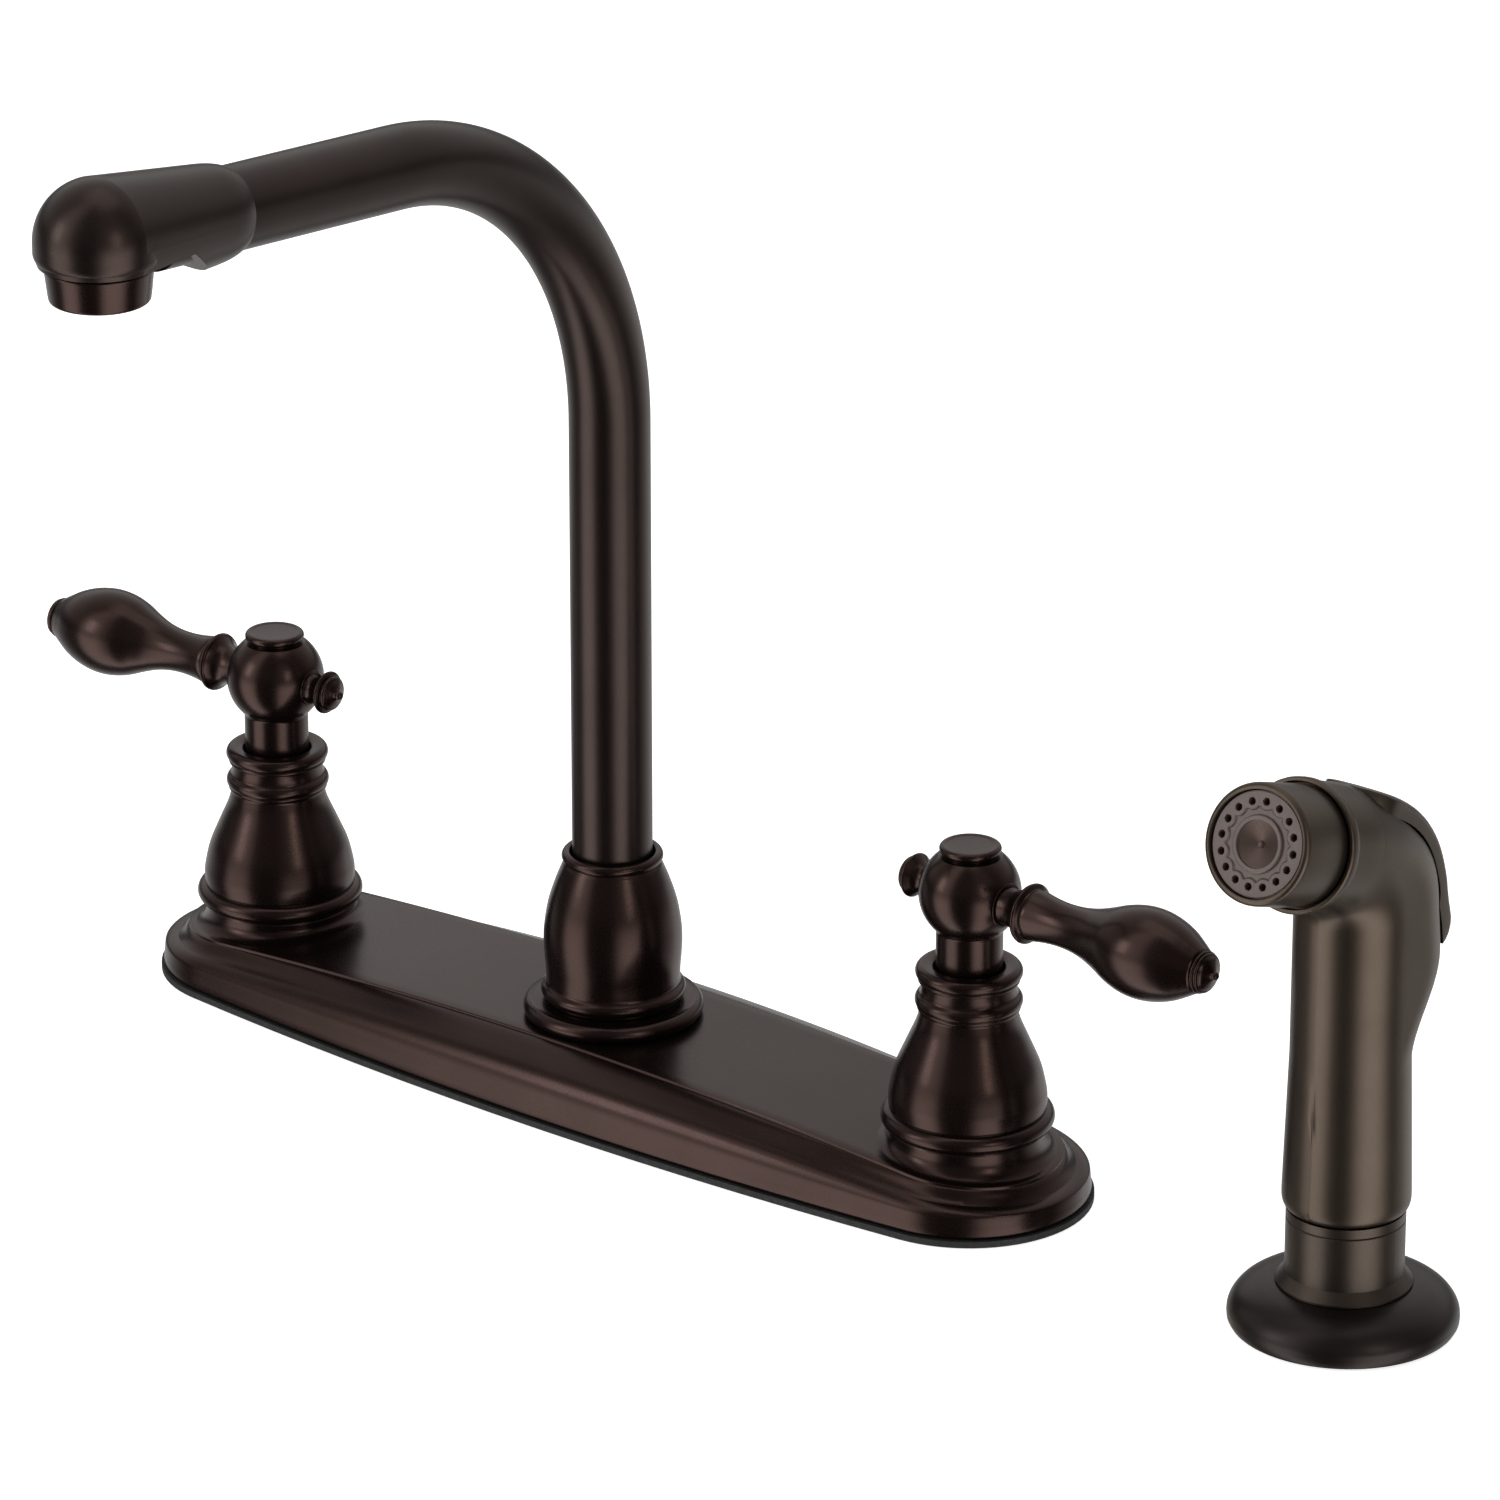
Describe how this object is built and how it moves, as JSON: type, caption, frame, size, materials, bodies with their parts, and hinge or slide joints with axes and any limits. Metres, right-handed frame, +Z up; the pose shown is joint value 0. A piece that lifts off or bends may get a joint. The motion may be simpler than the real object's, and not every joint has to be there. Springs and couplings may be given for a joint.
{
  "type": "two handle kitchen faucet",
  "caption": "High-arc two handle kitchen faucet on a bowed deck plate, with vase-shaped lever handles, swivel spout and a separate side sprayer in its holder.",
  "frame": {"origin": "on the spout's swivel axis at the deck's surface, which is the underside of the gasket and the top end of the hose nipple's free wall", "axes": "+X along the deck plate towards the cold handle and the sprayer, -Y towards the user and along the spout, +Z up"},
  "size_m": [0.3988, 0.2087, 0.3042],
  "materials": {
    "dark_bronze": "satin oil rubbed bronze plate",
    "sprayer_plastic": "painted ABS with a fine metallic fleck",
    "spray_face_plastic": "satin",
    "body_brass": "machined",
    "steel": "plain",
    "ceramic": "polished ceramic disc",
    "seal_rubber": "matt",
    "inner_plastic": "moulded",
    "black_plastic": "moulded"
  },
  "bodies": {
    "faucet": {"base_plate": "dark_bronze", "deck_gasket": "seal_rubber", "waterway": "body_brass", "hose_nipple": "body_brass", "mounting_washers": "steel", "mounting_nuts": "steel", "spout_bonnet": "dark_bronze", "diverter_seat": "body_brass", "diverter_spring": "steel", "sprayer_flange": "dark_bronze", "sprayer_holder": "sprayer_plastic", "sprayer_washer": "steel", "sprayer_nut": "black_plastic", "hot_valve_body": "body_brass", "hot_cartridge_seal": "seal_rubber", "hot_fixed_disc": "ceramic", "hot_cartridge_body": "body_brass", "hot_bonnet_nut": "body_brass", "hot_bell_escutcheon": "dark_bronze", "cold_valve_body": "body_brass", "cold_cartridge_seal": "seal_rubber", "cold_fixed_disc": "ceramic", "cold_cartridge_body": "body_brass", "cold_bonnet_nut": "body_brass", "cold_bell_escutcheon": "dark_bronze"},
    "hot_handle": {"hot_moving_disc": "ceramic", "hot_cartridge_stem": "body_brass", "hot_handle_hub": "dark_bronze", "hot_lever": "dark_bronze", "hot_finial": "dark_bronze", "hot_handle_screw": "steel", "hot_index_button": "dark_bronze"},
    "cold_handle": {"cold_moving_disc": "ceramic", "cold_cartridge_stem": "body_brass", "cold_handle_hub": "dark_bronze", "cold_lever": "dark_bronze", "cold_finial": "dark_bronze", "cold_handle_screw": "steel", "cold_index_button": "dark_bronze"},
    "spout": {"spout_tube": "dark_bronze", "spout_o_rings": "seal_rubber", "spout_retainer": "steel", "spout_head": "dark_bronze", "aerator_housing": "dark_bronze", "aerator_screen": "steel", "aerator_insert": "inner_plastic", "aerator_washer": "seal_rubber"},
    "diverter": {"diverter_valve": "inner_plastic"},
    "sprayer_base": {"sprayer_coupling": "body_brass", "coupling_clip": "steel"},
    "sprayer_body": {"sprayer_shell": "sprayer_plastic", "trigger_pin": "steel", "sprayer_waterway": "inner_plastic", "nozzle_ring": "sprayer_plastic", "spray_face": "spray_face_plastic", "trigger_spring": "steel"},
    "trigger": {"thumb_lever": "sprayer_plastic"},
    "sprayer_valve": {"valve_stem": "steel"}
  },
  "joints": [
    {"name": "spout_swivel", "type": "hinge", "parent": "faucet", "child": "spout", "pos_m": [0, 0, 0], "axis": [0, 0, 1], "continuous": true},
    {"name": "hot_handle_turn", "type": "hinge", "parent": "faucet", "child": "hot_handle", "pos_m": [-0.1016, 0, 0], "axis": [0, 0, 1], "range_deg": [0, 90]},
    {"name": "cold_handle_turn", "type": "hinge", "parent": "faucet", "child": "cold_handle", "pos_m": [0.1016, 0, 0], "axis": [0, 0, 1], "range_deg": [-90, 0]},
    {"name": "diverter_shift", "type": "slide", "parent": "faucet", "child": "diverter", "axis": [0, 0, 1], "range_m": [-0.002, 0], "stiffness_N_per_m": 150, "springref_m": 0.001, "deforming": ["diverter_spring"]},
    {"name": "sprayer_lift", "type": "slide", "parent": "faucet", "child": "sprayer_base", "axis": [0, 0, 1], "range_m": [0, 0.12]},
    {"name": "sprayer_turn", "type": "hinge", "parent": "sprayer_base", "child": "sprayer_body", "pos_m": [0.2032, 0, 0.04], "axis": [0, 0, 1], "range_deg": [-45, 45]},
    {"name": "trigger_press", "type": "hinge", "parent": "sprayer_body", "child": "trigger", "pos_m": [0.2032, 0.0015, 0.1185], "axis": [-1, 0, 0], "range_deg": [0, 4], "stiffness_Nm_per_rad": 0.5, "springref_deg": -5.73},
    {"name": "valve_push", "type": "slide", "parent": "sprayer_body", "child": "sprayer_valve", "axis": [0, -1, 0], "range_m": [0, 0.0018], "deforming": ["trigger_spring"]}
  ],
  "couplings": [
    {"joint": "valve_push", "follows": "trigger_press", "m_per_rad": 0.0245}
  ]
}
